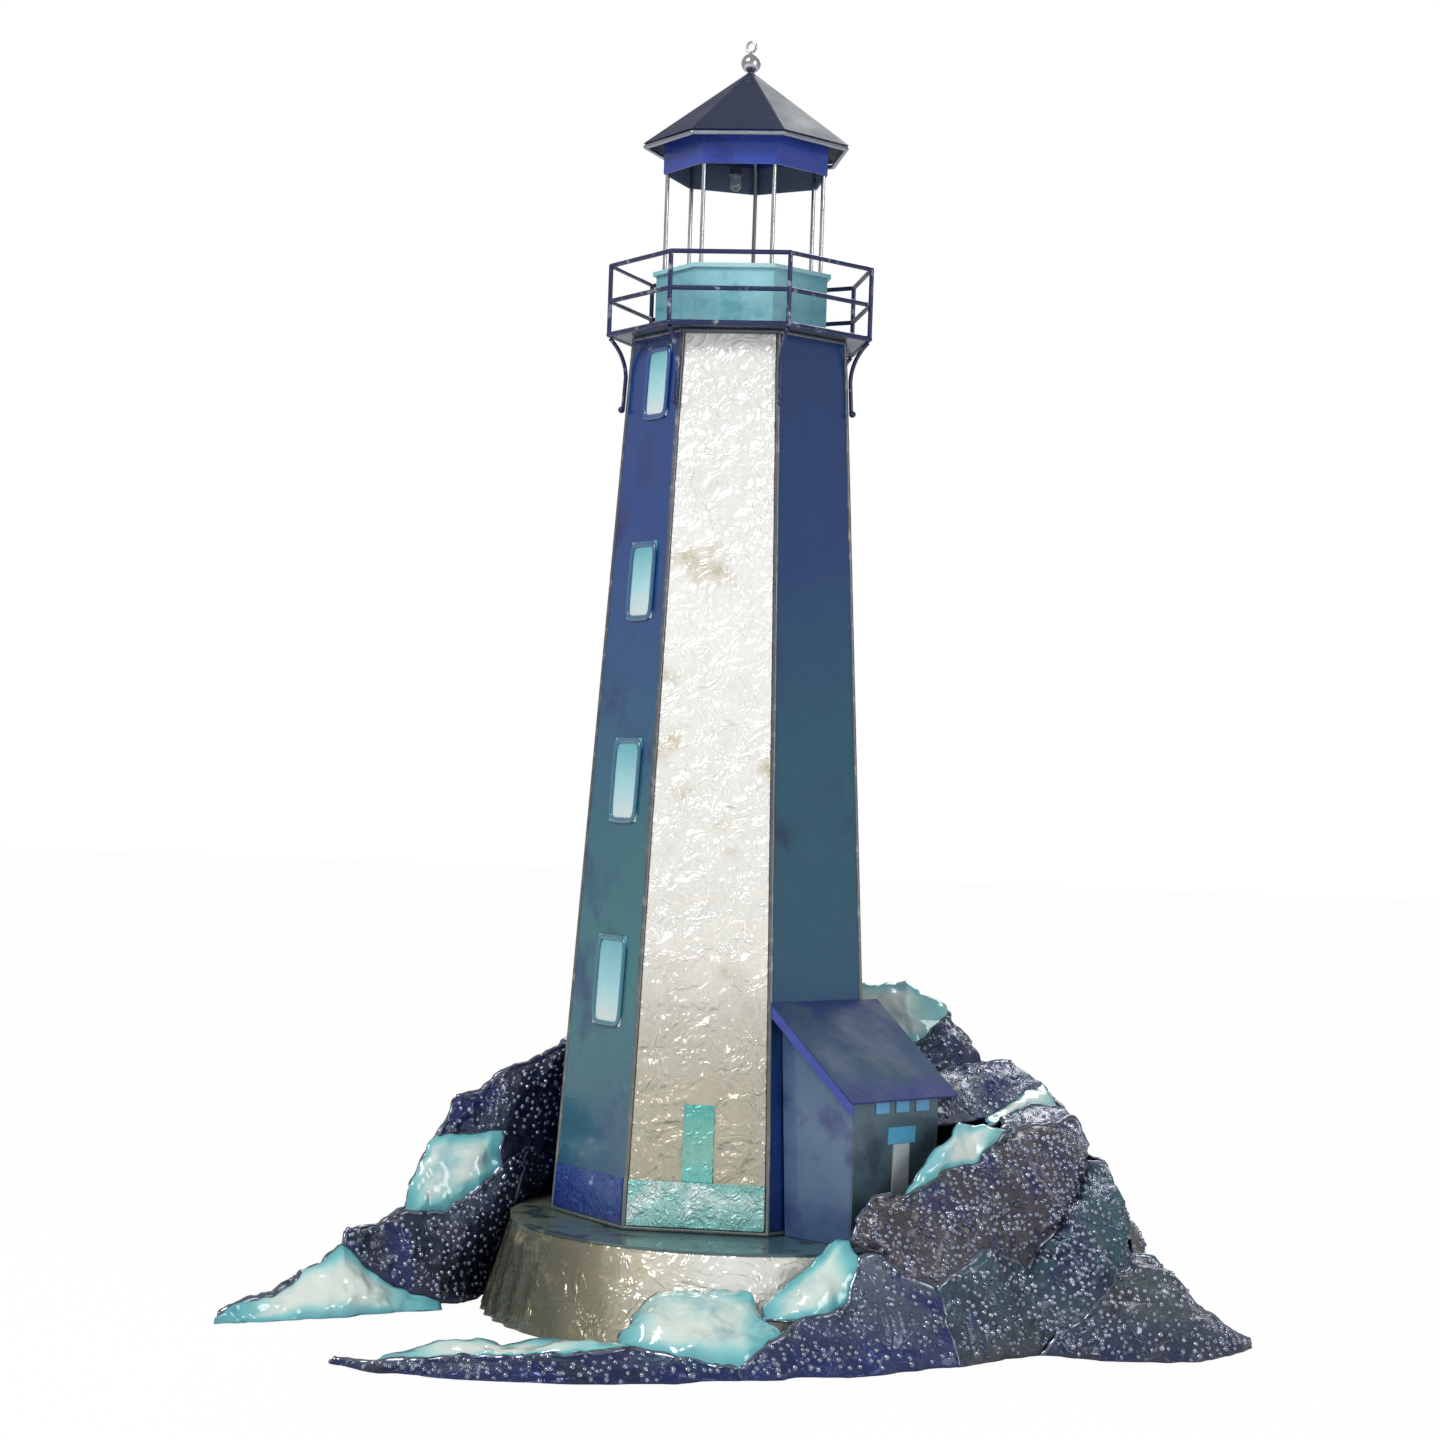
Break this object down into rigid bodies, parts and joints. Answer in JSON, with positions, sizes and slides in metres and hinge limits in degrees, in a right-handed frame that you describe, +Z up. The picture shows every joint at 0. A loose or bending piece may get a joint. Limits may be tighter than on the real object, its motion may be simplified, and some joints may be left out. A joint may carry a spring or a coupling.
{
  "type": "lighthouse garden ornament",
  "caption": "Free-standing garden lighthouse of sheet panels on a wire frame, with gallery, lantern, lean-to shed and pressed-sheet rocks.",
  "frame": {"origin": "the tower's axis at the ground", "axes": "+Z up the tower; the pearl front panel faces -Y and the shed stands on the +X, -Y side"},
  "size_m": [0.4272, 0.3093, 0.5571],
  "materials": {
    "blue_panel": "glossy cloudy blue coat over shell sheet",
    "pearl_panel": "pearly crinkled shell sheet",
    "plinth_top_sheet": "worn grey-green coat",
    "mint_panel": "mint coat over crinkled shell sheet",
    "cobalt_panel": "cobalt coat",
    "window_glass": "aqua to white coat",
    "dark_wire": "dark coat worn to bright metal",
    "bright_wire": "bright drawn wire",
    "slate_sheet": "slate and navy coat",
    "aqua_panel": "aqua coat",
    "lamp_metal": "dark coat",
    "lamp_glass": "clear bulb",
    "lead_cover": "grey cover",
    "shed_panel": "cloudy slate blue coat",
    "white_panel": "pale coat",
    "base_metal": "plain dark coat",
    "case_plastic": "moulded",
    "cell_jacket": "plain jacket",
    "rock_sheet": "dark coat with raised bright dots",
    "shore_glass": "smooth aqua to white coat"
  },
  "bodies": {
    "lighthouse": {"base_plate": "base_metal", "battery_case": "case_plastic", "battery_cells": "cell_jacket", "eave_wire": "dark_wire", "fascia_band": "cobalt_panel", "finial_ball": "bright_wire", "finial_loop": "bright_wire", "finial_stud": "bright_wire", "gallery_brackets": "dark_wire", "gallery_deck": "slate_sheet", "gallery_railing": "dark_wire", "glass_back": "shore_glass", "glass_back_strip": "shore_glass", "glass_front": "shore_glass", "glass_front_right": "shore_glass", "glass_front_strip": "shore_glass", "glass_left_high": "shore_glass", "glass_left_low": "shore_glass", "glass_right": "shore_glass", "lamp_bulb": "lamp_glass", "lamp_holder": "lamp_metal", "lamp_lead": "lead_cover", "lantern_posts": "bright_wire", "lantern_roof": "slate_sheet", "parapet_cap": "aqua_panel", "parapet_wall": "aqua_panel", "plinth_top": "plinth_top_sheet", "plinth_wall": "pearl_panel", "rock_back_high": "rock_sheet", "rock_back_low": "rock_sheet", "rock_front": "rock_sheet", "rock_front_strip": "rock_sheet", "rock_left_high": "rock_sheet", "rock_left_low": "rock_sheet", "rock_rear_left": "rock_sheet", "rock_rear_middle": "rock_sheet", "rock_rear_right": "rock_sheet", "rock_right_big": "rock_sheet", "rock_right_outer": "rock_sheet", "rock_right_tip": "rock_sheet", "shed_door": "white_panel", "shed_lintel": "window_glass", "shed_roof": "slate_sheet", "shed_trim": "cobalt_panel", "shed_wall_front": "shed_panel", "shed_wall_left": "shed_panel", "shed_wall_right": "shed_panel", "shed_windows": "window_glass", "switch_body": "case_plastic", "tower_band_front": "mint_panel", "tower_door": "mint_panel", "tower_frame": "dark_wire", "tower_panel_front": "pearl_panel", "tower_panel_left": "blue_panel", "tower_panel_right": "blue_panel", "tower_panels_rear": "blue_panel", "tower_skirt_left": "cobalt_panel", "tower_windows": "window_glass"},
    "hatch": {"battery_hatch": "base_metal"},
    "switch": {"switch_slider": "case_plastic"}
  },
  "joints": [
    {"name": "hatch_hinge", "type": "hinge", "parent": "lighthouse", "child": "hatch", "pos_m": [0, 0.0638, 0.0019], "axis": [1, 0, 0], "range_deg": [0, 90]},
    {"name": "switch_slide", "type": "slide", "parent": "lighthouse", "child": "switch", "axis": [1, 0, 0], "range_m": [0, 0.003]}
  ]
}
